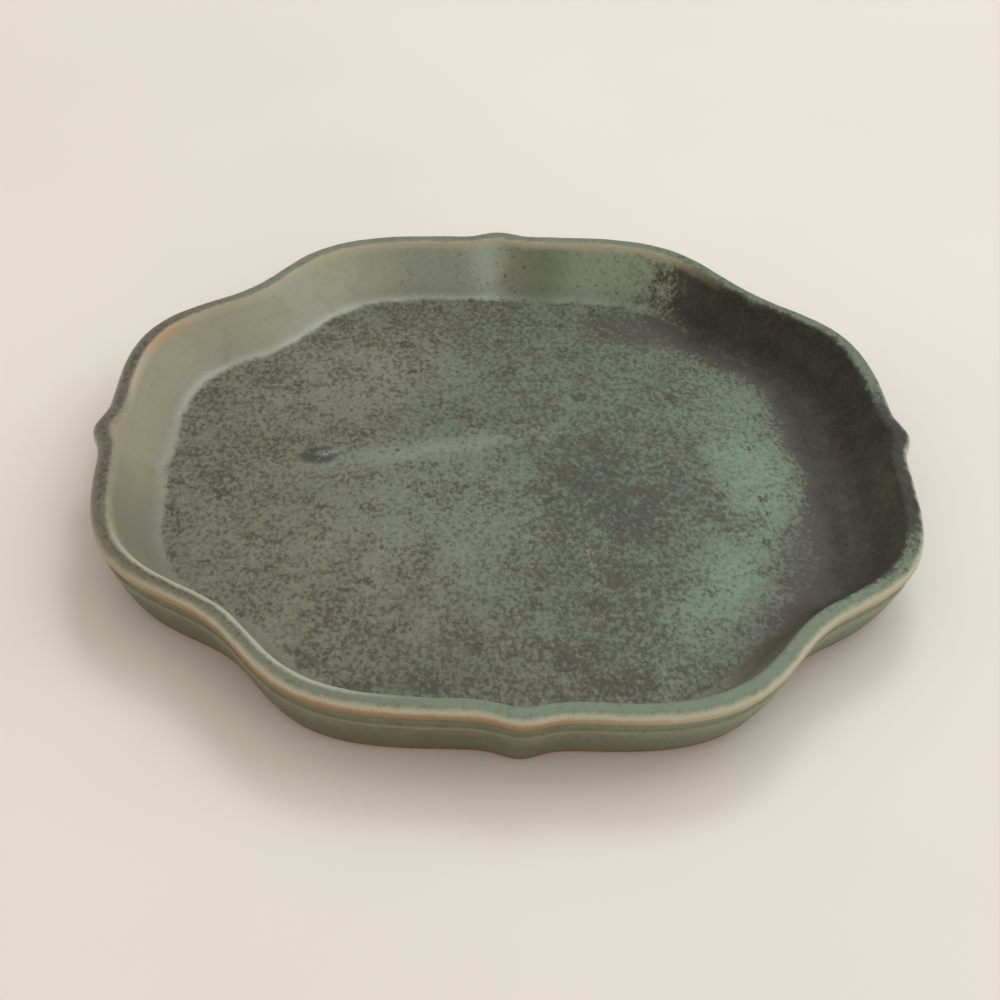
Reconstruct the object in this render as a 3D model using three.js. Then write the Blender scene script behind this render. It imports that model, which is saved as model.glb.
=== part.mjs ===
// Shallow mokko-gata water tray for a bonsai pot: a four-lobed stoneware dish with a
// small point at the middle of each side and a soft notch at each corner.
// The clay body is modelled as the pieces a potter joins wet (foot ring, floor slab,
// wall, rim roll and string line), and the three glaze coats as thin shells on top.
// Millimetres, +Z up, origin on the ground under the middle of the tray.
import * as THREE from 'three';

// ---- plan: the outer edge of the rim --------------------------------------
const MEAN_RADIUS = 90;          // average radius of the rim's outer edge
const HALF_SIDE = 87.6;          // centre to a side, beside its point
const SQUARENESS = 4.5;          // exponent of the rounded square that the lobes follow
const NIB_HEIGHT = 2.4;          // how far each point stands out from its side
const NIB_SPREAD = 3.6 * Math.PI / 180;
const NOTCH_DEPTH = 19.8;        // how much the rounded square's corners are pressed in
const NOTCH_SPREAD = 15 * Math.PI / 180;

// ---- heights --------------------------------------------------------------
const HEIGHT = 16;               // ground to the top of the rim
const GLAZE = 0.4;               // thickness of each glaze coat
const FOOT_HEIGHT = 0.9;         // bare clay foot under the slab
const SLAB_TOP = 4.0;            // clay floor, under the inner glaze
const WALL_TOP = 12.8;           // where the rim roll sits on the wall
const STRING_LOW = 9.1;          // lower and upper edge of the raised string line
const STRING_HIGH = 10.3;

// ---- section, as distances in from the rim's outer edge --------------------
const FOOT_INSET = 6.6;          // clay outer wall at the ground
const STRING_INSET = 2.2;        // clay outer wall behind the string line
const WALL_TOP_INSET = 1.5;      // clay outer wall just below the rim roll
const WALL_BELLY = 0.4;          // how far the lower wall swells past a straight line
const FOOT_RING_WIDTH = 5;
const FOOT_CHAMFER = 0.4;
const RIM_WIDTH = 4.2;           // across the rim, glaze included
const RIM_ROUNDING = 1.3;        // radius of the rim's two edges, glaze included
const RIM_FACE_LOW = 13.9;       // the rim roll's upright outer face starts here
const ROLL_CORNER = 0.3;         // how far the roll's underside is cut back half-way
const WALL_LEAN = 33 * Math.PI / 180;   // the inner wall leans out from the vertical
const COVE_RADIUS = 7;           // curve between inner wall and floor, glaze included
const STRING_RELIEF = 0.4;       // the string line's height off the wall

// ---- how far the lobes and points fade ------------------------------------
const FLOOR_LOBE_FADE = 0.2;     // share of the lobing lost at the edge of the floor
const FLOOR_NIB_FADE = 0.75;     // share of the points lost there

const SEGMENTS = 96;             // steps round the tray
const STEP_CROWDING = 0.12;      // draws the steps together at the four points
const ARC_STEPS = 3;             // steps along the cove

// The inner wall leaves the rim's inner rounding and meets the cove at a tangent, so
// both roundings turn through the same angle.
const turn = Math.PI / 2 - WALL_LEAN;
const rimEdgeHeight = HEIGHT - RIM_ROUNDING;
const coveCentreHeight = SLAB_TOP + GLAZE + COVE_RADIUS;
const wallHighInset = RIM_WIDTH - RIM_ROUNDING * (1 - Math.sin(turn));
const wallHighHeight = rimEdgeHeight + RIM_ROUNDING * Math.cos(turn);
const wallLowHeight = coveCentreHeight - COVE_RADIUS * Math.cos(turn);
const wallLowInset = wallHighInset + (wallHighHeight - wallLowHeight) * Math.tan(WALL_LEAN);
const floorInset = wallLowInset + COVE_RADIUS * Math.sin(turn);

// Radius of the lobed outline less its mean, and the point's own share of it.
function lobing(angle) {
  const cos = Math.abs(Math.cos(angle)) ** SQUARENESS;
  const sin = Math.abs(Math.sin(angle)) ** SQUARENESS;
  const quarter = Math.PI / 2;
  const fromSide = angle - Math.round(angle / quarter) * quarter;
  const fromCorner = quarter / 2 - Math.abs(fromSide);
  const square = HALF_SIDE / (cos + sin) ** (1 / SQUARENESS);
  const notch = NOTCH_DEPTH * Math.exp(-((fromCorner / NOTCH_SPREAD) ** 2));
  const nib = NIB_HEIGHT * Math.exp(-((fromSide / NIB_SPREAD) ** 2));
  return { lobe: square - notch - MEAN_RADIUS, nib };
}

// A section point: how far in from the rim's edge, how high, and how much of the
// lobes and points has faded there.
function outside(inset, height) {
  return { inset, height, lobeFade: 0, nibFade: 0 };
}

function inside(inset, height) {
  const share = Math.min(inset / floorInset, 1);
  return { inset, height, lobeFade: FLOOR_LOBE_FADE * share, nibFade: FLOOR_NIB_FADE * share };
}

// The clay outer wall: an upright neck above the string line, a sloping belly below.
function outerWallInset(height) {
  if (height >= STRING_HIGH) {
    const share = (height - STRING_HIGH) / (WALL_TOP - STRING_HIGH);
    return STRING_INSET + (WALL_TOP_INSET - STRING_INSET) * share;
  }
  const share = Math.min(height / STRING_LOW, 1);
  const straight = FOOT_INSET + (STRING_INSET - FOOT_INSET) * share;
  return straight - 4 * WALL_BELLY * share * (1 - share);
}

// Outer face at the given offset out from the clay, bottom to top.
function outerFace(offset) {
  const onWall = (height, relief = 0) =>
    outside(outerWallInset(height) - offset - relief, height);
  const middle = (STRING_LOW + STRING_HIGH) / 2;
  return [
    onWall(FOOT_HEIGHT),
    onWall(SLAB_TOP),
    onWall(STRING_LOW),
    onWall(middle - 0.3, STRING_RELIEF),
    onWall(middle + 0.3, STRING_RELIEF),
    onWall(STRING_HIGH),
    onWall(WALL_TOP),
  ];
}

// Rim roll from its seat outside, over the top, to its seat inside.
function rimFace(offset) {
  const inward = GLAZE - offset;
  const radius = RIM_ROUNDING - inward;
  const diagonal = radius * Math.SQRT1_2;
  const innerCentre = RIM_WIDTH - RIM_ROUNDING;
  return [
    outside(outerWallInset(WALL_TOP) - offset, WALL_TOP),
    inside(inward + ROLL_CORNER, (WALL_TOP + RIM_FACE_LOW) / 2),
    inside(inward, RIM_FACE_LOW),
    inside(inward, rimEdgeHeight),
    inside(RIM_ROUNDING - diagonal, rimEdgeHeight + diagonal),
    inside(RIM_ROUNDING, HEIGHT - inward),
    inside(innerCentre, HEIGHT - inward),
    inside(innerCentre + radius * Math.sin(turn / 2), rimEdgeHeight + radius * Math.cos(turn / 2)),
    inside(innerCentre + radius * Math.sin(turn), rimEdgeHeight + radius * Math.cos(turn)),
    innerFace(offset)[0],
  ];
}

// Inner wall and cove from the rim's seat down to the edge of the floor.
function innerFace(offset) {
  const radius = COVE_RADIUS + GLAZE - offset;
  const coveTop = coveCentreHeight - radius * Math.cos(turn);
  const coveTopInset = floorInset - radius * Math.sin(turn);
  const points = [inside(coveTopInset - (WALL_TOP - coveTop) * Math.tan(WALL_LEAN), WALL_TOP)];
  for (let step = ARC_STEPS; step >= 0; step -= 1) {
    const angle = turn * step / ARC_STEPS;
    const inset = floorInset - radius * Math.sin(angle);
    points.push(inside(inset, coveCentreHeight - radius * Math.cos(angle)));
  }
  return points;
}

// Sweeps a section round the tray. A ring's section closes on itself; a disc's
// section runs from the middle of its underside to the middle of its top.
function sweep(section, isDisc) {
  const vertices = [];
  const triangles = [];
  for (let step = 0; step < SEGMENTS; step += 1) {
    const even = 2 * Math.PI * step / SEGMENTS;
    const angle = even - STEP_CROWDING * Math.sin(4 * even);
    const { lobe, nib } = lobing(angle);
    for (const { inset, height, lobeFade, nibFade } of section) {
      const radius = MEAN_RADIUS - inset + lobe * (1 - lobeFade) + nib * (1 - nibFade);
      vertices.push(radius * Math.cos(angle), radius * Math.sin(angle), height);
    }
  }
  const count = section.length;
  const at = (step, index) => (step % SEGMENTS) * count + (index % count);
  const bottom = SEGMENTS * count;
  const top = bottom + 1;
  if (isDisc) {
    vertices.push(0, 0, section[0].height, 0, 0, section[count - 1].height);
  }
  for (let step = 0; step < SEGMENTS; step += 1) {
    for (let index = 0; index < (isDisc ? count - 1 : count); index += 1) {
      const a = at(step, index);
      const b = at(step + 1, index);
      const c = at(step + 1, index + 1);
      const d = at(step, index + 1);
      // Every quad is split from its lower corner, so that two pieces in contact
      // share exactly the same triangles whichever way their sections run.
      if (section[index].height < section[(index + 1) % count].height) {
        triangles.push(a, b, c, a, c, d);
      } else {
        triangles.push(a, b, d, b, c, d);
      }
    }
    if (isDisc) {
      triangles.push(bottom, at(step + 1, 0), at(step, 0));
      triangles.push(top, at(step, count - 1), at(step + 1, count - 1));
    }
  }
  const geometry = new THREE.BufferGeometry();
  geometry.setAttribute('position', new THREE.Float32BufferAttribute(vertices, 3));
  geometry.setIndex(triangles);
  geometry.computeVertexNormals();
  return geometry;
}

const CLAY = { color: 0x9a6a48, roughness: 0.85, metalness: 0 };
const OUTER_COAT = { color: 0x77876b, roughness: 0.42, metalness: 0 };
const RIM_COAT = { color: 0x8b9a80, roughness: 0.4, metalness: 0 };
const INNER_COAT = { color: 0x6d7864, roughness: 0.38, metalness: 0 };

const tray = new THREE.Group();

function addPiece(name, geometry, finish) {
  const mesh = new THREE.Mesh(geometry, new THREE.MeshStandardMaterial(finish));
  mesh.name = name;
  tray.add(mesh);
}

const clayOutside = outerFace(0);
const clayInside = innerFace(0);
const clayRim = rimFace(0);
const wallBottomInner = clayInside[clayInside.length - 1];

// The string line fills the section between the wall's face and its own relief.
const stringRelief = clayOutside.slice(2, 6);

function footRing() {
  const outer = outerWallInset(FOOT_HEIGHT);
  const inner = outer + FOOT_RING_WIDTH;
  return sweep([
    outside(outer + FOOT_CHAMFER, 0),
    outside(outer, FOOT_CHAMFER),
    clayOutside[0],
    outside(inner, FOOT_HEIGHT),
    outside(inner, 0),
  ], false);
}

function wall() {
  return sweep([
    clayOutside[1],
    clayOutside[2],
    clayOutside[5],
    clayOutside[6],
    ...clayInside,
  ], false);
}

addPiece('foot_ring', footRing(), CLAY);
addPiece('floor_slab', sweep(clayOutside.slice(0, 2), true), CLAY);
addPiece('wall', wall(), CLAY);
addPiece('string_line', sweep(stringRelief, false), CLAY);
addPiece('rim_roll', sweep(clayRim, false), CLAY);
addPiece('outer_glaze', sweep([...outerFace(GLAZE), ...clayOutside.toReversed()], false),
  OUTER_COAT);
addPiece('rim_glaze', sweep([...rimFace(GLAZE), ...clayRim.toReversed()], false), RIM_COAT);
addPiece('inner_glaze', sweep([...clayInside.toReversed(), ...innerFace(GLAZE)], true),
  INNER_COAT);

export default tray;
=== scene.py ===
import math

import bpy
import numpy as np
from mathutils import Matrix, Vector


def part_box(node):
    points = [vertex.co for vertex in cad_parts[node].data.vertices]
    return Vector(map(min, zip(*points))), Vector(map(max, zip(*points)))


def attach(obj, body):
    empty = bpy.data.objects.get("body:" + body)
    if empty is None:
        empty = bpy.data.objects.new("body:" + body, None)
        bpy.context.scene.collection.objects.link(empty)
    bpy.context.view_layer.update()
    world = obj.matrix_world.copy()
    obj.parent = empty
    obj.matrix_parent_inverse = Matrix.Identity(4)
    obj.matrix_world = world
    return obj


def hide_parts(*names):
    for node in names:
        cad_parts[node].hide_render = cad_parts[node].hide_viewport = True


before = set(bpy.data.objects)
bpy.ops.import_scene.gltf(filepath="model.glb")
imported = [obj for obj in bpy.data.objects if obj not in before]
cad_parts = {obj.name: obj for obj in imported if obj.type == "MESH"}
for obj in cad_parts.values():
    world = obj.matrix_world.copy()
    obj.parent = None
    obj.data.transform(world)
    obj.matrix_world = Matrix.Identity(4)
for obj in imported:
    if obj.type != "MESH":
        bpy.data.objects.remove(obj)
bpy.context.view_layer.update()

MM = 0.001


def cad_size(node, corner, axis):
    """One coordinate of a CAD node's box, in millimetres."""
    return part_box(node)[corner]["xyz".index(axis)] / MM


# ---- sizes read from the frame ---------------------------------------------
LOW, HIGH = 0, 1
HEIGHT = cad_size("rim_glaze", HIGH, "z")
TIP_RADIUS = cad_size("rim_glaze", HIGH, "x")
SLAB_TOP = cad_size("floor_slab", HIGH, "z")
FOOT_HEIGHT = cad_size("floor_slab", LOW, "z")
WALL_TOP = cad_size("wall", HIGH, "z")
STRING_LOW = cad_size("string_line", LOW, "z")
STRING_HIGH = cad_size("string_line", HIGH, "z")
GLAZE = HEIGHT - cad_size("rim_roll", HIGH, "z")

# ---- plan and section, as the CAD part has them ------------------------------
MEAN_RADIUS = TIP_RADIUS         # the four points reach as far out as the rim's mean radius
NIB_HEIGHT = 2.4
HALF_SIDE = TIP_RADIUS - NIB_HEIGHT
SQUARENESS = 4.5
NIB_SPREAD = math.radians(3.6)
NOTCH_DEPTH = 19.8
NOTCH_SPREAD = math.radians(15)
FOOT_INSET = 6.6
STRING_INSET = 2.2
WALL_TOP_INSET = 1.5
WALL_BELLY = 0.4
FOOT_RING_WIDTH = 5
FOOT_ROUNDING = 0.4
RIM_WIDTH = 4.2
RIM_ROUNDING = 1.3
RIM_FACE_LOW = 13.9
WALL_LEAN = math.radians(33)
COVE_RADIUS = 7
STRING_RELIEF = 0.4
FLOOR_LOBE_FADE = 0.2
FLOOR_NIB_FADE = 0.75

QUARTER = math.pi / 2
TURN = QUARTER - WALL_LEAN
RIM_EDGE_HEIGHT = HEIGHT - RIM_ROUNDING
COVE_CENTRE_HEIGHT = SLAB_TOP + GLAZE + COVE_RADIUS
WALL_HIGH_INSET = RIM_WIDTH - RIM_ROUNDING * (1 - math.sin(TURN))
WALL_HIGH_HEIGHT = RIM_EDGE_HEIGHT + RIM_ROUNDING * math.cos(TURN)
WALL_LOW_HEIGHT = COVE_CENTRE_HEIGHT - COVE_RADIUS * math.cos(TURN)
WALL_LOW_INSET = WALL_HIGH_INSET + (WALL_HIGH_HEIGHT - WALL_LOW_HEIGHT) * math.tan(WALL_LEAN)
FLOOR_INSET = WALL_LOW_INSET + COVE_RADIUS * math.sin(TURN)
FLOOR_ALONG = ((RIM_WIDTH / 2 - RIM_ROUNDING) + RIM_ROUNDING * TURN + COVE_RADIUS * TURN
               + (WALL_HIGH_HEIGHT - WALL_LOW_HEIGHT) / math.cos(WALL_LEAN))

# ---- what hand work and the kiln did to the even shape ----------------------
KILN_PULL = 0.55                 # three-sided pull outward, at 60, 180 and 300 degrees
RIM_WAVE = 0.16                  # slow rise and fall of the rim
FLOOR_WAVE = 0.10                # unevenness of the floor
GLAZE_RIPPLE = 0.035             # ripple of the fired glaze
LOCAL_PULLS = ((-72, 0.9, 9), (45, 0.8, 8), (22, -0.6, 9), (-170, 0.5, 12),
               (104, 0.5, 9))
NIB_DRIFT = {0: 1.5, 90: 0.0, 180: -0.8, 270: 0.1}   # degrees each point sits off its axis

# ---- mesh fineness ----------------------------------------------------------
STEPS_ROUND = 560
STEP_CROWDING = 0.12
FLOOR_RINGS = 30
SHARP_ANGLE = math.radians(38)   # faces that meet at more than this keep a sharp edge


def lobing(angle):
    """The outline's radius less its mean, and the points' share of it, for an array of angles."""
    corner_sum = np.abs(np.cos(angle)) ** SQUARENESS + np.abs(np.sin(angle)) ** SQUARENESS
    from_side = angle - np.round(angle / QUARTER) * QUARTER
    from_corner = QUARTER / 2 - np.abs(from_side)
    square = HALF_SIDE / corner_sum ** (1 / SQUARENESS)
    notch = NOTCH_DEPTH * np.exp(-(from_corner / NOTCH_SPREAD) ** 2)
    nib = np.zeros_like(angle)
    for side, drift in NIB_DRIFT.items():
        away = angle - math.radians(side + drift)
        away = (away + math.pi) % (2 * math.pi) - math.pi
        nib += NIB_HEIGHT * np.exp(-(away / NIB_SPREAD) ** 2)
    return square - notch - MEAN_RADIUS, nib


class Point:
    """One point of a section: inset from the rim's edge, height, and how far the lobes and
    the points have faded there. share is 1 out to the edge of the floor and falls to 0 in
    its middle."""

    def __init__(self, inset, height, lobe_fade=0.0, nib_fade=0.0, share=1.0):
        self.inset = inset
        self.height = height
        self.lobe_fade = lobe_fade
        self.nib_fade = nib_fade
        self.share = share


def outside(inset, height):
    return Point(inset, height)


def inside(inset, height):
    share = min(inset / FLOOR_INSET, 1)
    return Point(inset, height, FLOOR_LOBE_FADE * share, FLOOR_NIB_FADE * share)


def spread(low, high, count):
    return [low + (high - low) * step / (count - 1) for step in range(count)]


def outer_wall_inset(height):
    if height >= STRING_HIGH:
        share = (height - STRING_HIGH) / (WALL_TOP - STRING_HIGH)
        return STRING_INSET + (WALL_TOP_INSET - STRING_INSET) * share
    share = min(height / STRING_LOW, 1)
    straight = FOOT_INSET + (STRING_INSET - FOOT_INSET) * share
    return straight - 4 * WALL_BELLY * share * (1 - share)


def string_relief(height):
    """Half-round bead between the string line's two edges."""
    share = (height - STRING_LOW) / (STRING_HIGH - STRING_LOW)
    return STRING_RELIEF * math.sin(math.pi * min(max(share, 0), 1)) ** 0.7


def outer_face(offset, low=FOOT_HEIGHT):
    """The outer wall from the slab's underside to the rim roll, offset out from the clay."""
    heights = spread(low, STRING_LOW, 10) + spread(STRING_LOW, STRING_HIGH, 9)[1:]
    heights += spread(STRING_HIGH, WALL_TOP, 6)[1:]
    return [outside(outer_wall_inset(h) - offset - string_relief(h), h) for h in heights]


def rim_face(offset):
    """The rim roll from its seat outside, over the crest, to its seat inside."""
    inward = GLAZE - offset
    radius = RIM_ROUNDING - inward
    seat = outer_wall_inset(WALL_TOP) - offset
    inner_centre = RIM_WIDTH - RIM_ROUNDING
    points = [outside(seat, WALL_TOP)]
    for angle in spread(0, QUARTER, 7)[1:]:
        inset = seat - (seat - inward) * math.sin(angle)
        points.append(inside(inset, RIM_FACE_LOW - (RIM_FACE_LOW - WALL_TOP) * math.cos(angle)))
    for angle in spread(0, QUARTER, 9):
        inset = RIM_ROUNDING - radius * math.cos(angle)
        points.append(inside(inset, RIM_EDGE_HEIGHT + radius * math.sin(angle)))
    for inset in spread(RIM_ROUNDING, inner_centre, 5)[1:-1]:
        points.append(inside(inset, RIM_EDGE_HEIGHT + radius))
    for angle in spread(0, TURN, 7):
        inset = inner_centre + radius * math.sin(angle)
        points.append(inside(inset, RIM_EDGE_HEIGHT + radius * math.cos(angle)))
    seat_inside = inner_face(offset)[0]
    last = points[-1]
    for share in spread(0, 1, 4)[1:-1]:
        inset = last.inset + (seat_inside.inset - last.inset) * share
        points.append(inside(inset, last.height + (seat_inside.height - last.height) * share))
    return points + [seat_inside]


def inner_face(offset):
    """The inner wall and cove from the rim's seat down to the edge of the floor."""
    radius = COVE_RADIUS + GLAZE - offset
    cove_top = COVE_CENTRE_HEIGHT - radius * math.cos(TURN)
    cove_top_inset = FLOOR_INSET - radius * math.sin(TURN)
    points = []
    for height in spread(WALL_TOP, cove_top, 8)[:-1]:
        points.append(inside(cove_top_inset - (height - cove_top) * math.tan(WALL_LEAN), height))
    for angle in spread(TURN, 0, 12):
        inset = FLOOR_INSET - radius * math.sin(angle)
        points.append(inside(inset, COVE_CENTRE_HEIGHT - radius * math.cos(angle)))
    return points


def floor_rings(edge):
    """The flat middle, from just inside an edge point to just before the centre."""
    points = []
    for share in spread(1, 0, FLOOR_RINGS)[1:-1]:
        points.append(Point(edge.inset, edge.height, edge.lobe_fade, edge.nib_fade, share))
    return points


def section_lengths(section):
    """Distance over the surface from the section's first point to each of its points."""
    along = [0.0]
    for before, after in zip(section, section[1:]):
        inset = after.inset - before.inset + MEAN_RADIUS * (before.share - after.share)
        along.append(along[-1] + math.hypot(inset, after.height - before.height))
    return along


def kiln_shape(angle, radius, height, share):
    """Moves the even shape's radius and height to the hand-made one's."""
    rise = np.clip(height / HEIGHT, 0, 1)
    pull = -KILN_PULL * np.cos(3 * angle)
    for centre, amount, width in LOCAL_PULLS:
        away = (angle - math.radians(centre) + math.pi) % (2 * math.pi) - math.pi
        pull = pull + amount * np.exp(-(away / math.radians(width)) ** 2)
    pull = pull * share * (0.35 + 0.65 * rise)
    wave = RIM_WAVE * np.sin(2 * angle + 0.6) + 0.5 * RIM_WAVE * np.sin(5 * angle + 2.0)
    x = radius * np.cos(angle)
    y = radius * np.sin(angle)
    dip = FLOOR_WAVE * (np.sin(x / 17 + 0.8) * np.cos(y / 21 - 0.4) + np.sin((x + 2 * y) / 31))
    on_floor = np.clip((height - FOOT_HEIGHT) / (SLAB_TOP - FOOT_HEIGHT), 0, 1) * (1 - rise ** 2)
    return radius + pull, height + wave * rise ** 3 + dip * on_floor * np.clip(1.2 - share, 0, 1)


def sweep(name, section, is_disc=False, skin=None):
    """A closed mesh: the section carried round the tray. skin is the range of the section's
    points that is a bare glaze surface, as (first, last), which gets the glaze's ripple."""
    even = 2 * math.pi * np.arange(STEPS_ROUND) / STEPS_ROUND
    angle = even - STEP_CROWDING * np.sin(4 * even)
    lobe, nib = lobing(angle)
    count = len(section)
    lobe_left = np.array([1 - p.lobe_fade for p in section])
    nib_left = np.array([1 - p.nib_fade for p in section])
    inset = np.array([p.inset for p in section])
    share = np.array([p.share for p in section])
    height = np.array([p.height for p in section])
    radius = MEAN_RADIUS - inset + np.outer(lobe, lobe_left) + np.outer(nib, nib_left)
    radius, lifted = kiln_shape(angle[:, None], radius * share, height[None, :], share[None, :])
    x = radius * np.cos(angle)[:, None]
    y = radius * np.sin(angle)[:, None]
    places = np.stack([x, y, lifted], axis=-1).reshape(-1, 3)
    corners = np.arange(STEPS_ROUND)
    nexts = (corners + 1) % STEPS_ROUND
    quads = []
    for index in range(count - 1 if is_disc else count):
        after = (index + 1) % count
        quads.append(np.stack([corners * count + index, nexts * count + index,
                               nexts * count + after, corners * count + after], axis=1))
    faces = np.concatenate(quads).tolist()
    if is_disc:
        middle_low = len(places)
        ends = [[0, 0, float(np.mean(lifted[:, ring]))] for ring in (0, -1)]
        places = np.concatenate([places, ends])
        for corner, after in zip(corners.tolist(), nexts.tolist()):
            faces.append([middle_low, after * count, corner * count])
            faces.append([middle_low + 1, corner * count + count - 1, after * count + count - 1])
    mesh = bpy.data.meshes.new(name)
    mesh.from_pydata((places * MM).tolist(), [], faces)
    mesh.shade_smooth()
    mesh.set_sharp_from_angle(angle=SHARP_ANGLE)
    if skin:
        ripple_glaze(mesh, count, skin)
    piece = bpy.data.objects.new(name, mesh)
    bpy.context.scene.collection.objects.link(piece)
    return piece


def ripple_glaze(mesh, count, skin):
    """Moves the glaze's bare surface in and out a little along its normals."""
    total = len(mesh.vertices)
    places = np.empty(total * 3)
    normals = np.empty(total * 3)
    mesh.vertices.foreach_get("co", places)
    mesh.vertices.foreach_get("normal", normals)
    places = places.reshape(-1, 3)
    normals = normals.reshape(-1, 3)
    x, y, z = (places / MM).T
    ripple = np.sin(x / 2.1 + 1.3 * np.sin(y / 3.7)) * np.cos(y / 2.6 + np.sin(z / 1.9))
    ripple += 0.6 * np.sin((x - y) / 1.3 + np.sin(x / 4.4)) * np.sin((y + z) / 1.7)
    index = np.arange(total) % count
    bare = (index > skin[0]) & (index < skin[1]) & (np.arange(total) < STEPS_ROUND * count)
    move = np.where(bare, GLAZE_RIPPLE * ripple, 0)
    places += normals * (move * MM)[:, None]
    mesh.vertices.foreach_set("co", places.reshape(-1))
    mesh.update()


def name_lengths(piece, count, along):
    """Stores each vertex's distance over the surface from the crest of the rim, negative on
    the outside, for the glaze's colours to follow."""
    values = np.resize(np.array(along, dtype=float), STEPS_ROUND * count)
    extra = len(piece.data.vertices) - len(values)
    values = np.concatenate([values, np.full(extra, along[-1])])
    attribute = piece.data.attributes.new("along", "FLOAT", "POINT")
    attribute.data.foreach_set("value", values)


# ---- shader formulas ---------------------------------------------------------
def colour(red, green, blue):
    """A colour given in display values from 0 to 255, as linear light."""
    return tuple(((c / 255 + 0.055) / 1.055) ** 2.4 if c > 10 else c / 3295
                 for c in (red, green, blue)) + (1.0,)


class Value:
    """A number that varies over the surface, for writing shader nodes as formulas."""

    def __init__(self, tree, socket):
        self.tree = tree
        self.socket = socket

    def math(self, operation, *others):
        made = self.tree.nodes.new("ShaderNodeMath")
        made.operation = operation
        for place, source in zip(made.inputs, (self, *others)):
            feed(self.tree, source, place)
        return Value(self.tree, made.outputs[0])

    def __add__(self, other):
        return self.math("ADD", other)

    def __sub__(self, other):
        return self.math("SUBTRACT", other)

    def __mul__(self, other):
        return self.math("MULTIPLY", other)

    def __truediv__(self, other):
        return self.math("DIVIDE", other)

    def __radd__(self, other):
        return self.math("ADD", other)

    def flip(self):
        """1 less the value."""
        return (self * -1.0) + 1.0

    def most(self, other):
        return self.math("MAXIMUM", other)

    def least(self, other):
        return self.math("MINIMUM", other)

    def rise(self, low, high):
        """0 below low and 1 above high, with a smooth run between."""
        made = self.tree.nodes.new("ShaderNodeMapRange")
        made.interpolation_type = "SMOOTHSTEP"
        for name, source in (("Value", self), ("From Min", low), ("From Max", high)):
            feed(self.tree, source, made.inputs[name])
        return Value(self.tree, made.outputs["Result"])

    def band(self, low, high, edge):
        """1 between low and high, fading to 0 over edge at each end."""
        return self.rise(low - edge, low + edge) * self.rise(high - edge, high + edge).flip()


def feed(tree, source, socket):
    if isinstance(source, Value):
        tree.links.new(source.socket, socket)
    else:
        socket.default_value = source


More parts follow.
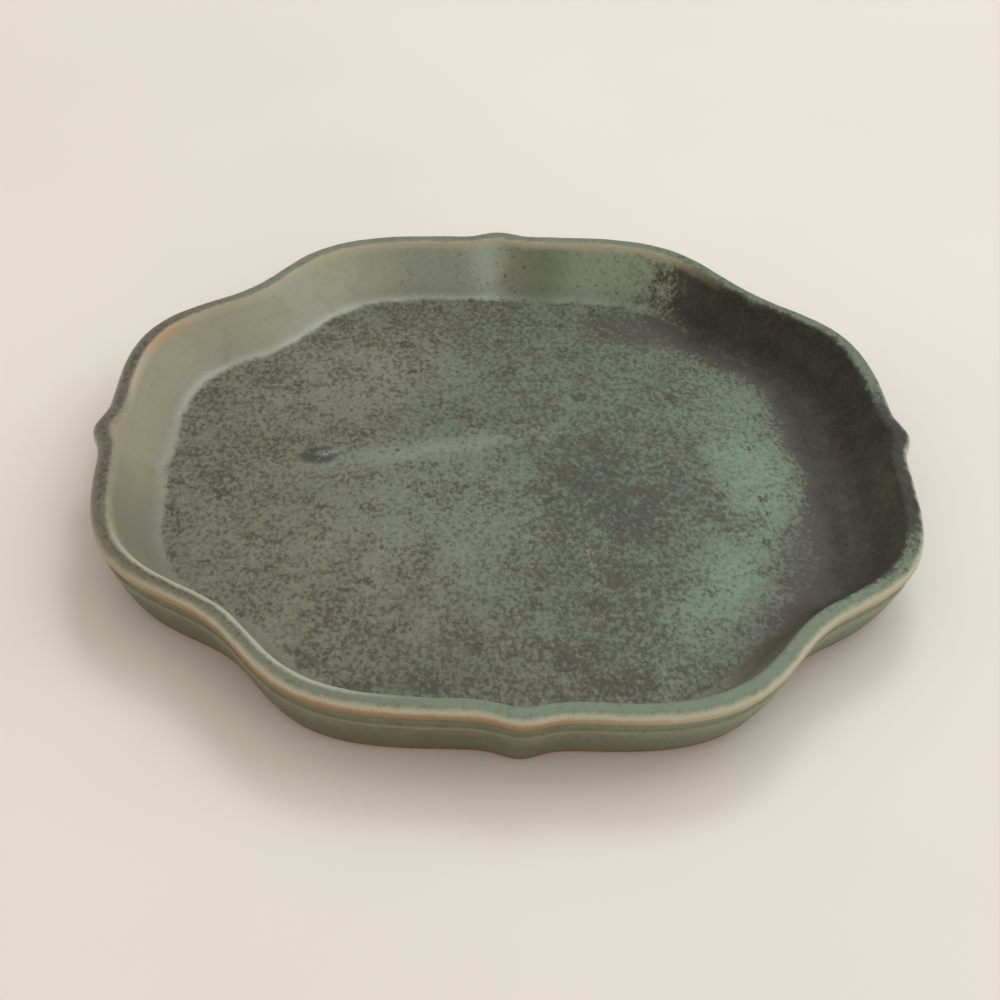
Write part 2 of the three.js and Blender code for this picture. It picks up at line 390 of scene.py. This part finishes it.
class Surface:
    """A material on one Principled shader, with the fields that its formulas use."""

    def __init__(self, name):
        self.material = bpy.data.materials.new(name)
        self.material.use_nodes = True
        self.tree = self.material.node_tree
        self.shader = self.tree.nodes["Principled BSDF"]
        place = self.tree.nodes.new("ShaderNodeTexCoord").outputs["Object"]
        scaled = self.tree.nodes.new("ShaderNodeVectorMath")
        scaled.operation = "SCALE"
        scaled.inputs["Scale"].default_value = 1 / MM
        self.tree.links.new(place, scaled.inputs[0])
        self.place = scaled.outputs[0]
        parts = self.tree.nodes.new("ShaderNodeSeparateXYZ")
        self.tree.links.new(self.place, parts.inputs[0])
        self.x, self.y, self.z = (Value(self.tree, parts.outputs[n]) for n in range(3))
        self.angle = self.y.math("ARCTAN2", self.x) * math.degrees(1)

    def along(self):
        made = self.tree.nodes.new("ShaderNodeAttribute")
        made.attribute_name = "along"
        return Value(self.tree, made.outputs["Fac"])

    def noise(self, size, detail=2.0, roughness=0.5, shift=0.0, stretch=(1, 1, 1)):
        """Even noise about 0.5, with features about size millimetres across."""
        moved = self.tree.nodes.new("ShaderNodeMapping")
        moved.inputs["Location"].default_value = (shift, shift * 0.7, -shift)
        moved.inputs["Scale"].default_value = stretch
        self.tree.links.new(self.place, moved.inputs["Vector"])
        made = self.tree.nodes.new("ShaderNodeTexNoise")
        made.inputs["Scale"].default_value = 1 / size
        made.inputs["Detail"].default_value = detail
        made.inputs["Roughness"].default_value = roughness
        self.tree.links.new(moved.outputs[0], made.inputs["Vector"])
        return Value(self.tree, made.outputs["Fac"])

    def dots(self, spacing, size, shift=0.0):
        """Round specks, size millimetres across, one to each cell of the spacing."""
        moved = self.tree.nodes.new("ShaderNodeMapping")
        moved.inputs["Location"].default_value = (shift, -shift, shift * 0.3)
        self.tree.links.new(self.place, moved.inputs["Vector"])
        made = self.tree.nodes.new("ShaderNodeTexVoronoi")
        made.inputs["Scale"].default_value = 1 / spacing
        self.tree.links.new(moved.outputs[0], made.inputs["Vector"])
        distance = Value(self.tree, made.outputs["Distance"]) * spacing
        own = self.tree.nodes.new("ShaderNodeSeparateColor")
        self.tree.links.new(made.outputs["Color"], own.inputs[0])
        radius = Value(self.tree, own.outputs[0]) * size * 0.5
        return (distance - radius).rise(-0.05, 0.12).flip()

    def sector(self, centre, half, edge, wander=0.0):
        """1 within half degrees of centre round the tray, fading over edge degrees."""
        away = (self.angle - centre).math("WRAP", 180.0, -180.0).math("ABSOLUTE")
        if wander:
            away = away + (self.noise(7, 3, shift=centre) - 0.5) * wander
        return away.rise(half - edge, half + edge).flip()

    def patch(self, centre, radii, turn, edge, wander):
        """1 in an oval seen from above, fading over edge of its radius, with a ragged edge."""
        ragged = self.ragged()
        dx = self.x - centre[0] + ragged[0] * wander
        dy = self.y - centre[1] + ragged[1] * wander
        cos, sin = math.cos(math.radians(turn)), math.sin(math.radians(turn))
        u = (dx * cos + dy * sin) / radii[0]
        v = (dy * cos - dx * sin) / radii[1]
        away = (u * u + v * v).math("SQRT")
        return away.rise(1 - edge, 1 + edge).flip()

    def ragged(self):
        """Two shared noises that ragged edges are moved by."""
        if not hasattr(self, "_ragged"):
            self._ragged = (self.noise(6, 5, 0.65, 11) - 0.5, self.noise(6, 5, 0.65, 47) - 0.5)
        return self._ragged

    def blend(self, share, low, high):
        """low where share is 0 and high where it is 1; both are colours."""
        made = self.tree.nodes.new("ShaderNodeMix")
        made.data_type = "RGBA"
        feed(self.tree, share, made.inputs["Factor"])
        feed(self.tree, low, made.inputs[6])
        feed(self.tree, high, made.inputs[7])
        return Value(self.tree, made.outputs[2])

    def mixed(self, share, low, high):
        """The number low where share is 0, and high where it is 1."""
        return low + (high - low) * share

    def finish(self, base, roughness, height, bump_distance, strength=1.0):
        feed(self.tree, base, self.shader.inputs["Base Color"])
        feed(self.tree, roughness, self.shader.inputs["Roughness"])
        bump = self.tree.nodes.new("ShaderNodeBump")
        bump.inputs["Distance"].default_value = bump_distance * MM
        bump.inputs["Strength"].default_value = strength
        feed(self.tree, height, bump.inputs["Height"])
        self.tree.links.new(bump.outputs[0], self.shader.inputs["Normal"])
        return self.material


# ---- glaze and clay ----------------------------------------------------------
# specks and iron
SPECK = colour(48, 46, 38)
SPECK_HALO = colour(76, 72, 58)
SPECK_PALE = colour(84, 82, 70)
SPECK_BROWN = colour(68, 54, 40)
SPECK_PURPLE = colour(64, 56, 50)
RUST = colour(76, 54, 38)
RUST_DOT = colour(84, 60, 38)
IRON = colour(24, 24, 24)
IRON_BROWN = colour(51, 43, 38)
IRON_BLUE = colour(40, 42, 46)
IRON_GREEN = colour(62, 66, 55)
IRON_GLINT = colour(88, 88, 78)

# floor
GROUND_DARK = colour(111, 118, 100)
GROUND_LIGHT = colour(117, 124, 105)
TEAL = colour(102, 122, 102)
TAUPE = colour(127, 128, 109)
FLOOR_LIGHT = colour(127, 136, 116)
JADE = colour(114, 141, 118)
STREAK = colour(126, 137, 118)
BACK_LEFT_PALE = colour(133, 138, 118)
PURPLE = colour(92, 89, 80)
SEA_GREEN = colour(100, 122, 106)
SMEAR = colour(142, 152, 134)
KILN_MARK = colour(48, 51, 49)
# painted highlight on the kiln mark
PAINTED_MARK_HIGHLIGHT = colour(146, 152, 143)

# inner wall
WALL_PALE = colour(168, 173, 152)
WALL_LEFT = colour(155, 153, 132)
WALL_FRONT = colour(124, 124, 105)
WALL_BACK = colour(144, 155, 139)
WALL_CREASE = colour(162, 175, 160)
WALL_DEEP = colour(86, 98, 80)
WALL_BROWN = colour(72, 68, 54)
WALL_OLIVE = colour(110, 120, 98)
WALL_GREEN = colour(144, 160, 138)
WALL_TAN = colour(128, 118, 94)
# painted shade for the lower wall and cove
PAINTED_COVE_SHADE = colour(70, 74, 62)
# painted highlight along the foot of the inner wall
PAINTED_COVE_HIGHLIGHT = colour(182, 186, 178)
CREAM = colour(190, 180, 154)
ORANGE = colour(190, 140, 92)

# rim
RIM_DARK = colour(112, 119, 102)
RIM_LIGHT = colour(120, 127, 109)
RIM_FRONT_RIGHT = colour(110, 130, 110)
RIM_BACK_RIGHT = colour(98, 116, 96)
RIM_LEFT = colour(106, 99, 85)
# painted highlight on the rim's inner rounding
PAINTED_RIM_HIGHLIGHT = colour(184, 189, 165)
RIM_CREAM = colour(216, 214, 192)
RIM_TAN = colour(176, 162, 132)
RIM_OCHRE = colour(146, 104, 56)

# outside
OUTER_DARK = colour(116, 116, 91)
OUTER_LIGHT = colour(124, 128, 104)
OUTER_RIGHT = colour(142, 156, 134)
# glaze thinning pale over the string line, partly a painted highlight
OUTER_BACK = colour(126, 131, 110)
RIDGE_PALE_GLAZE_AND_HIGHLIGHT = colour(150, 144, 116)
# painted shade for the outer wall below the string line
PAINTED_SHADE_BELOW_STRING = colour(82, 78, 58)
OUTER_SPECK = colour(70, 60, 46)
OUTER_FOOT = colour(116, 84, 54)

# bare clay and table
CLAY_DARK = colour(150, 104, 70)
CLAY_LIGHT = colour(172, 126, 88)
CLAY_STAIN = colour(92, 62, 42)
CLAY_GRIT = colour(196, 168, 136)
BOARD_DARK = colour(232, 229, 223)
BOARD_LIGHT = colour(236, 233, 227)

# small pale smears on the floor: centre, half length and half width, and turn in degrees
SMEARS = (((17.3, -28), (0.8, 7), 3), ((33, 45.5), (3.4, 0.7), -34),
          ((25.6, -40.3), (1.2, 0.8), 0), ((-15.4, -4.5), (0.9, 0.8), 0))

GLAZE_SPECULAR = 0.36            # for the inner and rim coats


class Glaze(Surface):
    """A coat of the speckled green glaze, with the noises that all three coats share."""

    def __init__(self, name):
        super().__init__(name)
        self.fine = self.noise(0.6, 3, 0.7, 21, stretch=(1, 0.75, 1))
        self.dust = self.noise(0.45, 2, 0.6, 57, stretch=(1, 0.75, 1))
        self.grain = self.noise(1.1, 3, 0.65, 3.1, stretch=(1, 0.7, 1))
        self.mottle = self.noise(3.0, 3, 0.6, 33)
        self.cloud = self.noise(9, 3, 0.55, 9.7)
        self.slow = self.noise(24, 2, 0.5, 5)

    def specked(self, base, density, dark=SPECK, strength=0.8):
        """Iron specks over a base colour. density near 0 leaves a few and near 1 merges
        them all. Returns the colour and the specks."""
        level = self.grain * 0.58 + self.fine * 0.42 + (self.mottle - 0.5) * 0.24
        level = level + density * 0.36 - 0.18
        specks = level.rise(0.36, 0.63)
        core = level.rise(0.50, 0.68)
        dust = self.dust.rise(0.44, 0.66) * level.rise(0.32, 0.50) * 0.45
        shade = self.scaled(base, 0.50)
        halo = self.blend(self.cloud.rise(0.45, 0.6) * 0.5 + 0.25, shade, SPECK_HALO)
        haloed = self.blend((specks * 0.85).most(dust), base, halo)
        flecked = self.blend(self.dust.rise(0.5, 0.68) * 0.4, self.toned(dark, 0.4), SPECK_PALE)
        return self.blend(core * strength, haloed, flecked), specks

    def scaled(self, base, amount):
        """A colour made lighter or darker."""
        made = self.tree.nodes.new("ShaderNodeVectorMath")
        made.operation = "SCALE"
        feed(self.tree, base if isinstance(base, Value) else base[:3], made.inputs[0])
        feed(self.tree, amount, made.inputs["Scale"])
        return Value(self.tree, made.outputs[0])

    def toned(self, base, amount=0.16):
        """Small light and dark variation of a colour."""
        tone = (self.fine - 0.5) * amount * 3.0 + (self.mottle - 0.5) * amount * 1.8 + 1.0
        return self.scaled(base, tone)

    def iron(self, along):
        """The iron-dark bloom over the right wall: 0 off it, 1 or more well inside it."""
        reach = FLOOR_ALONG - 1.5 + self.sector(-2, 26, 16) * 5.5 + self.sector(34, 26, 16) * 3.0
        low = (along - reach + (self.cloud - 0.5) * 12).rise(7.5, -7.5)
        high = (along + (self.mottle - 0.5) * 3.4).rise(0.0, 3.4)
        over = self.sector(-6, 15, 9) * (along + (self.mottle - 0.5) * 4).rise(-2.6, 0.8)
        round_it = self.sector(9, 50.5, 7, 12)
        thinner = self.sector(44, 5, 6, 16) * 0.20 + self.sector(57, 6, 6, 8) * 0.10
        return (low * high.most(over)) * round_it * thinner.flip() * 1.35

    def iron_colour(self):
        dark = self.blend(self.grain.rise(0.38, 0.64), IRON, IRON_BROWN)
        dark = self.blend(self.cloud.rise(0.50, 0.66) * 0.8, dark, IRON_BLUE)
        dark = self.blend(self.noise(2.4, 3, 0.65, 91).rise(0.56, 0.70) * 0.5, dark, RUST)
        dark = self.blend(self.noise(5, 4, 0.65, 17).rise(0.50, 0.66) * 0.55, dark, IRON_GREEN)
        glints = self.dots(1.9, 0.55, 12) * self.fine.rise(0.45, 0.6)
        return self.blend(glints * 0.5, dark, IRON_GLINT)

    def inner_wall(self, along):
        """Colour of the inner wall, with painted shade down into the cove and a painted highlight
        along its foot, and how thick the specks lie on it.
        """
        base = self.blend(self.sector(175, 30, 20), WALL_PALE, WALL_LEFT)
        base = self.blend(self.sector(-150, 22, 14), base, WALL_FRONT)
        base = self.blend(self.sector(-80, 55, 18), base, WALL_FRONT)
        base = self.blend(self.sector(-41, 14, 9, 6), base, WALL_BROWN)
        base = self.blend(self.sector(30, 30, 10, 8), base, WALL_DEEP)
        base = self.blend(self.sector(70, 14, 5, 8), base, WALL_GREEN)
        base = self.blend(self.sector(84, 6.0, 4.5, 5) * 0.8, base, WALL_OLIVE)
        base = self.blend(self.sector(101, 10, 9, 8) * 0.9, base, WALL_BACK)
        base = self.blend(self.sector(92, 2.0, 2.4, 3) * 0.9, base, WALL_CREASE)
        drift = self.noise(5, 3, 0.6, 63, stretch=(1, 1, 0.5))
        base = self.blend((drift - 0.5).rise(0.0, 0.25) * 0.2, base, WALL_TAN)
        density = self.sector(76, 18, 6, 8) * 0.22 + self.sector(64, 5, 4, 6) * 0.15
        density = density + self.sector(101, 9, 6) * 0.1 + self.sector(-80, 60, 20) * 0.35 - 0.05
        # painted shade: the wall darkens down into the cove
        base = self.blend(along.rise(10.5, 14.5) * 0.30, base, PAINTED_COVE_SHADE)
        # painted highlight: a thin pale line where the cove meets the floor, on the back left
        foot = along + (self.mottle - 0.5) * 1.5
        line = foot.band(15.5, 17.3, 1.2) * self.sector(128, 38, 14)
        return self.blend(line * 0.30, base, PAINTED_COVE_HIGHLIGHT), density

    def rust_dots(self, base):
        """Scattered rusty dots where the wall is olive."""
        dots = self.dots(2.6, 0.9, 3) * self.sector(74, 20, 6, 8) + self.dots(4.5, 0.6, 8) * 0.7
        dots = dots.least(1.0) * self.grain.rise(0.36, 0.5)
        return self.blend(dots * 0.8, base, RUST_DOT)

    def thin_line(self, base, along):
        """Cream where the glaze breaks over the rim's inner edge."""
        place = along + (self.mottle - 0.5) * 0.9 + (self.fine - 0.5) * 0.8
        strong = (self.sector(112, 56, 9, 6) + self.sector(-166, 36, 14) * 0.45).least(1.0)
        line = place.rise(0.7, 1.9) * place.rise(2.0, 4.0).flip() * strong
        base = self.blend(line * 0.75, base, CREAM)
        orange = self.sector(154, 4.5, 3.5, 3) * place.rise(1.0, 2.2) * place.rise(3.0, 4.4).flip()
        return self.blend(orange * 0.55, base, ORANGE)


def inner_glaze_material():
    s = Glaze("speckled_green_glaze")
    along = s.along()

    jade = s.patch((56, 2), (9, 22), 4, 0.7, 12)
    jade = jade.most(s.patch((44, -40), (8, 22), -26, 0.7, 12) * 0.9)
    jade = jade.most(s.patch((52, 32), (11, 12), 30, 0.8, 12) * 0.45)
    streak = s.patch((-16, 10.5), (25, 3.2), 14.5, 0.9, 4)
    light = s.patch((-18, -14), (26, 22), -20, 0.6, 16)
    teal = s.patch((34, 10), (44, 58), 0, 0.6, 24)
    dark = s.patch((21, -4), (11, 17), 10, 0.8, 14)
    dark = dark.most(s.patch((17, -42), (11, 20), -8, 0.8, 14) * 0.6)
    taupe = s.patch((-64, 6), (14, 44), 0, 0.6, 14)
    taupe = taupe.most(s.patch((-48, -44), (24, 26), -30, 0.6, 14))
    front = s.patch((-4, -66), (46, 9), 0, 0.7, 10)
    back = s.patch((4, 62), (50, 9), 0, 0.7, 10)
    purple = s.patch((38, 60), (13, 5), -14, 0.8, 8)
    purple = purple.most(s.patch((66, -28), (8, 22), -18, 0.7, 8))
    purple = purple.most(s.patch((54, -50), (19, 9), 42, 0.7, 8) * 0.6)
    purple = purple.most(s.patch((69, 26), (5, 20), 12, 0.7, 6) * 0.7)

    ground = s.blend(s.slow.rise(0.38, 0.62), GROUND_DARK, GROUND_LIGHT)
    ground = s.blend(teal, ground, TEAL)
    ground = s.blend(taupe * 0.8, ground, TAUPE)
    ground = s.blend(light * 0.55, ground, FLOOR_LIGHT)
    ground = s.blend(jade, ground, JADE)
    ground = s.blend(streak * 0.9, ground, STREAK)
    ground = s.blend(s.patch((-38, 42), (22, 16), 20, 0.7, 14) * 0.7, ground, BACK_LEFT_PALE)
    ground = s.blend(purple * 0.75, ground, PURPLE)
    ground = s.blend(s.cloud.rise(0.55, 0.75) * 0.5, ground, SEA_GREEN)
    for place, radii, turn in SMEARS:
        ground = s.blend(s.patch(place, radii, turn, 0.5, 1.5) * 0.7, ground, SMEAR)
    ground = s.toned(ground, 0.24)

    density = 0.55 + (s.slow - 0.5) * 0.3 + (s.cloud - 0.5) * 0.5
    density = density + dark * 0.22 + teal * 0.04 + front * 0.12 + back * 0.07 + purple * 0.14
    density = density + s.dots(8, 4.5, 6) * (s.grain - 0.3) * 0.9
    density = density - jade * 0.20 - streak * 0.26 - light * 0.05

    wall, wall_density = s.inner_wall(along)
    wall = s.toned(wall, 0.11)
    on_wall = (along + s.ragged()[0] * 3).rise(FLOOR_ALONG - 0.2, FLOOR_ALONG - 2.4)
    ground = s.blend(on_wall, ground, wall)
    density = s.mixed(on_wall, density, wall_density)
    iron = s.iron(along)
    speck = s.blend(s.mottle.rise(0.45, 0.6) * 0.7, SPECK, SPECK_BROWN)
    speck = s.blend(purple * 0.8, speck, SPECK_PURPLE)
    speck = s.blend(iron.rise(0.5, 1.0), speck, s.iron_colour())
    base, specks = s.specked(ground, density + iron, speck)
    base = s.blend(on_wall, base, s.rust_dots(base))
    base = s.thin_line(base, along)

    # kiln mark near the left of the floor
    mark = s.patch((-42.2, 7.4), (4.4, 3.0), 20, 0.35, 4)
    base = s.blend(mark * (s.grain.rise(0.25, 0.45)) * 0.9, base, KILN_MARK)
    # painted highlight on the kiln mark
    mark_highlight = s.patch((-40.0, 8.8), (3.0, 1.1), 24, 0.5, 3)
    base = s.blend(mark_highlight * s.fine.rise(0.42, 0.58) * 0.8, base, PAINTED_MARK_HIGHLIGHT)

    roughness = specks * 0.10 + 0.44 - on_wall * 0.04 + (s.mottle - 0.5) * 0.12
    roughness = roughness + iron.least(1.0) * 0.12
    relief = (s.fine - 0.5) * 0.5 + (s.mottle - 0.5) - specks * 0.25
    s.shader.inputs["Specular IOR Level"].default_value = GLAZE_SPECULAR
    return s.finish(base, roughness, relief, 0.10, 0.5)


def rim_glaze_material():
    s = Glaze("rim_glaze")
    along = s.along()
    place = along + (s.mottle - 0.5) * 1.0 + (s.fine - 0.5) * 0.9

    top = s.blend(s.slow.rise(0.4, 0.6), RIM_DARK, RIM_LIGHT)
    top = s.blend(s.sector(-52, 50, 22, 10) * 0.8, top, RIM_FRONT_RIGHT)
    top = s.blend(s.sector(35, 38, 12, 10) * 0.8, top, RIM_BACK_RIGHT)
    top = s.blend(s.sector(185, 42, 14, 10) * 0.8, top, RIM_LEFT)
    top = s.toned(top, 0.14)
    density = s.sector(-168, 46, 14, 10) * 0.42 * along.band(-0.7, 1.4, 0.5)
    density = density + s.sector(10, 52, 12, 12) * 0.2 + s.sector(100, 50, 20) * 0.08 + 0.12

    wall, wall_density = s.inner_wall(along)
    down = place.rise(1.4, 3.2)
    base = s.blend(down, top, s.toned(wall, 0.11))
    density = s.mixed(down, density, wall_density)
    iron = s.iron(along)
    speck = s.blend(iron.rise(0.5, 1.0), SPECK, s.iron_colour())
    base, specks = s.specked(base, density + iron, speck)
    base = s.thin_line(base, along)

    # the glaze breaks cream, then ochre, over the outer edge
    # painted highlight along the rim's inner rounding at the front left
    inner_highlight = place.band(0.5, 1.7, 0.6) * s.sector(-133, 24, 10)
    base = s.blend(inner_highlight * 0.75, base, PAINTED_RIM_HIGHLIGHT)
    cream = place.rise(-0.9, -2.8) * (s.sector(-165, 20, 12) * 0.5).flip()
    base = s.blend(cream * 0.85, base, RIM_CREAM)
    ochre_colour = s.blend(s.sector(-112, 34, 14, 8), RIM_TAN, RIM_OCHRE)
    ochre = place.rise(-1.8, -3.6)
    base = s.blend(ochre * 0.85, base, ochre_colour)
    base = s.blend(place.rise(-3.9, -5.0), base, outer_colour(s))

    s.shader.inputs["Specular IOR Level"].default_value = GLAZE_SPECULAR
    roughness = specks * 0.08 + 0.52 + (s.mottle - 0.5) * 0.1 + iron.least(1.0) * 0.12
    return s.finish(base, roughness, (s.fine - 0.5) * 0.5 + (s.mottle - 0.5), 0.10, 0.5)


def outer_colour(s):
    base = s.blend(s.mottle.rise(0.35, 0.65), OUTER_DARK, OUTER_LIGHT)
    base = s.blend(s.sector(-35, 40, 22, 10) * 0.8, base, OUTER_RIGHT)
    base = s.blend(s.sector(90, 60, 25, 10) * 0.5, base, OUTER_BACK)
    return s.toned(base, 0.12)


def outer_glaze_material():
    s = Glaze("outer_glaze")
    base = outer_colour(s)
    crest = (STRING_LOW + STRING_HIGH) / 2
    # the glaze thins pale over the string line, and a painted highlight lies along its top
    ridge_glaze_and_highlight = (s.z + (s.mottle - 0.5) * 0.3).band(crest - 0.15, crest + 0.45, 0.3)
    base = s.blend(ridge_glaze_and_highlight * 0.5, base, RIDGE_PALE_GLAZE_AND_HIGHLIGHT)
    # painted shade: the outer wall below the string line faces down and is darkened
    shade_below = s.z.rise(STRING_LOW, STRING_LOW - 3)
    base = s.blend(shade_below * 0.35, base, PAINTED_SHADE_BELOW_STRING)
    base, _ = s.specked(base, 0.14, OUTER_SPECK, 0.6)
    foot_edge = (s.z + (s.mottle - 0.5) * 0.8).rise(1.9, 0.9)
    base = s.blend(foot_edge * 0.6, base, OUTER_FOOT)
    roughness = (s.mottle - 0.5) * 0.12 + 0.5
    return s.finish(base, roughness, (s.fine - 0.5) * 0.5 + (s.mottle - 0.5), 0.10, 0.5)


def clay_material():
    s = Surface("bare_stoneware")
    fine = s.noise(0.35, 4, 0.75, 21)
    cloud = s.noise(14, 4, 0.6, 33)
    turning = s.noise(1.5, 3, 0.6, 61)
    base = s.blend(cloud.rise(0.35, 0.65), CLAY_DARK, CLAY_LIGHT)
    base = s.blend((fine - 0.5) * 1.2 + 0.4, base, s.blend(0.4, base, CLAY_STAIN))
    grit = s.dots(1.8, 0.5, 5)
    base = s.blend(grit * 0.5, base, CLAY_GRIT)
    roughness = (fine - 0.5) * 0.15 + 0.82
    return s.finish(base, roughness, fine + (turning - 0.5) * 0.5, 0.12, 0.8)


# ---- the pieces ---------------------------------------------------------------
def lengths_from_crest(points):
    """Distances from the crest for rim points listed from outside to inside."""
    middle = RIM_WIDTH / 2
    crest = min(range(len(points)), key=lambda n: abs(points[n].inset - middle) - points[n].height)
    along = section_lengths(points)
    return [length - along[crest] for length in along]


def add(piece, node, material):
    piece.data.materials.append(material)
    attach(piece, "root")
    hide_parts(node)


def foot_ring():
    outer = outer_wall_inset(FOOT_HEIGHT)
    inner = outer + FOOT_RING_WIDTH
    points = []
    for angle in spread(0, QUARTER, 5):
        points.append(outside(outer + FOOT_ROUNDING * (1 - math.sin(angle)),
                              FOOT_ROUNDING * (1 - math.cos(angle))))
    points.append(outside(outer, FOOT_HEIGHT))
    points += [outside(outer + FOOT_RING_WIDTH * share, FOOT_HEIGHT) for share in (0.33, 0.67, 1)]
    for angle in spread(0, QUARTER, 4):
        points.append(outside(inner - FOOT_ROUNDING * (1 - math.cos(angle)),
                              FOOT_ROUNDING * (1 - math.sin(angle))))
    points += [outside(outer + FOOT_RING_WIDTH * share, 0) for share in (0.67, 0.33)]
    return sweep("clay_foot_ring", points)


def floor_slab():
    edge = outer_face(0)
    edge = [p for p in edge if p.height <= SLAB_TOP]
    edge.append(outside(outer_wall_inset(SLAB_TOP), SLAB_TOP))
    under = floor_rings(edge[0])[::-1]
    return sweep("clay_floor_slab", under + edge + floor_rings(edge[-1]), is_disc=True)


def wall():
    outer = [outside(outer_wall_inset(SLAB_TOP), SLAB_TOP)]
    outer += [p for p in outer_face(0) if SLAB_TOP < p.height <= STRING_LOW]
    outer += [p for p in outer_face(0) if p.height >= STRING_HIGH]
    return sweep("clay_wall", outer + inner_face(0))


def string_line():
    middle = [p for p in outer_face(0) if STRING_LOW <= p.height <= STRING_HIGH]
    return sweep("clay_string_line", middle)


def rim_roll():
    return sweep("clay_rim_roll", rim_face(0))


def coat(name, inner, outer, is_disc=False):
    """A glaze coat between the clay's face and its own, both listed the same way."""
    if is_disc:
        section = inner + outer
        piece = sweep(name, section, True, (len(inner), len(section)))
    else:
        section = outer + inner[::-1]
        piece = sweep(name, section, False, (0, len(outer) - 1))
    return piece, section


def build():
    clay = clay_material()
    for make in (foot_ring, floor_slab, wall, string_line, rim_roll):
        add(make(), make.__name__, clay)

    outer, _ = coat("glaze_outside", outer_face(0), outer_face(GLAZE))
    add(outer, "outer_glaze", outer_glaze_material())

    rim, section = coat("glaze_rim", rim_face(0), rim_face(GLAZE))
    rim_along = lengths_from_crest(rim_face(GLAZE))
    name_lengths(rim, len(section), rim_along + rim_along[::-1])
    add(rim, "rim_glaze", rim_glaze_material())

    under = inner_face(0)
    over = inner_face(GLAZE)
    below = (under + floor_rings(under[-1]))[::-1]
    inner, section = coat("glaze_inside", below, over + floor_rings(over[-1]), True)
    seat = rim_along[-1]         # the inner coat starts where the rim's coat ends
    along = [seat + length for length in section_lengths(over + floor_rings(over[-1]))]
    name_lengths(inner, len(section), along[::-1] + along)
    add(inner, "inner_glaze", inner_glaze_material())


# ---- floor, light and camera ---------------------------------------------------
def floor():
    half = 12.0                  # metres
    mesh = bpy.data.meshes.new("table_top")
    mesh.from_pydata([(-half, -half, 0), (half, -half, 0), (half, half, 0), (-half, half, 0)],
                     [], [(0, 1, 2, 3)])
    table = bpy.data.objects.new("table_top", mesh)
    bpy.context.scene.collection.objects.link(table)
    s = Surface("pale_board")
    cloud = s.noise(140, 3, 0.5, 3)
    base = s.blend(cloud.rise(0.3, 0.7), BOARD_DARK, BOARD_LIGHT)
    mesh.materials.append(s.finish(base, 0.55, s.noise(1.2, 2, 0.5, 1), 0.02, 0.3))


LAMP_DISTANCE = 2.2              # metres from the tray
WINDOW_TINT = (0.86, 0.95, 1.0)
FILL_TINT = (0.94, 0.98, 1.0)
ROOM_TINT = (1.0, 0.90, 0.80, 1)
ROOM_STRENGTH = 0.68


def area_light(name, direction, size, power, tint):
    """A round soft light that faces the tray; size is in metres and power in watts."""
    data = bpy.data.lights.new(name, "AREA")
    data.shape = "DISK"
    data.size = size
    data.energy = power
    data.color = tint
    lamp = bpy.data.objects.new(name, data)
    lamp.location = Vector(direction).normalized() * LAMP_DISTANCE
    lamp.rotation_euler = lamp.location.to_track_quat("Z", "Y").to_euler()
    bpy.context.scene.collection.objects.link(lamp)


def lights():
    area_light("window", (0.62, 0.36, 0.70), 1.9, 12.4, WINDOW_TINT)
    area_light("back_window", (0.19, 0.65, 0.73), 0.7, 8.0, WINDOW_TINT)
    area_light("front_fill", (0.62, -0.52, 0.59), 1.6, 2.8, FILL_TINT)
    world = bpy.data.worlds.new("studio")
    world.use_nodes = True
    background = world.node_tree.nodes["Background"]
    background.inputs["Color"].default_value = ROOM_TINT
    background.inputs["Strength"].default_value = ROOM_STRENGTH
    bpy.context.scene.world = world


def camera():
    """Looks down from the front, a little left of the tray's own axis. Millimetres."""
    elevation = math.radians(37.4)
    tilt = math.radians(2.66)
    tray_turn = math.radians(3.12)
    distance = 409.8
    target = Vector((-1.3, -23.7, HEIGHT))
    forward = Vector((0, math.cos(elevation), -math.sin(elevation)))
    up = Vector((0, math.sin(elevation), math.cos(elevation)))
    right = Vector((1, 0, 0))
    tilted_right = right * math.cos(tilt) + up * math.sin(tilt)
    tilted_up = up * math.cos(tilt) - right * math.sin(tilt)
    place = target - forward * distance
    facing = Matrix((tilted_right, tilted_up, -forward)).transposed().to_4x4()
    turn = Matrix.Rotation(-tray_turn, 4, "Z")
    data = bpy.data.cameras.new("camera")
    data.lens = 70.3
    data.sensor_width = 36
    viewer = bpy.data.objects.new("camera", data)
    viewer.matrix_world = turn @ Matrix.Translation(place * MM) @ facing
    bpy.context.scene.collection.objects.link(viewer)
    bpy.context.scene.camera = viewer


camera()
lights()
floor()
build()
bpy.context.scene.view_settings.view_transform = "Standard"
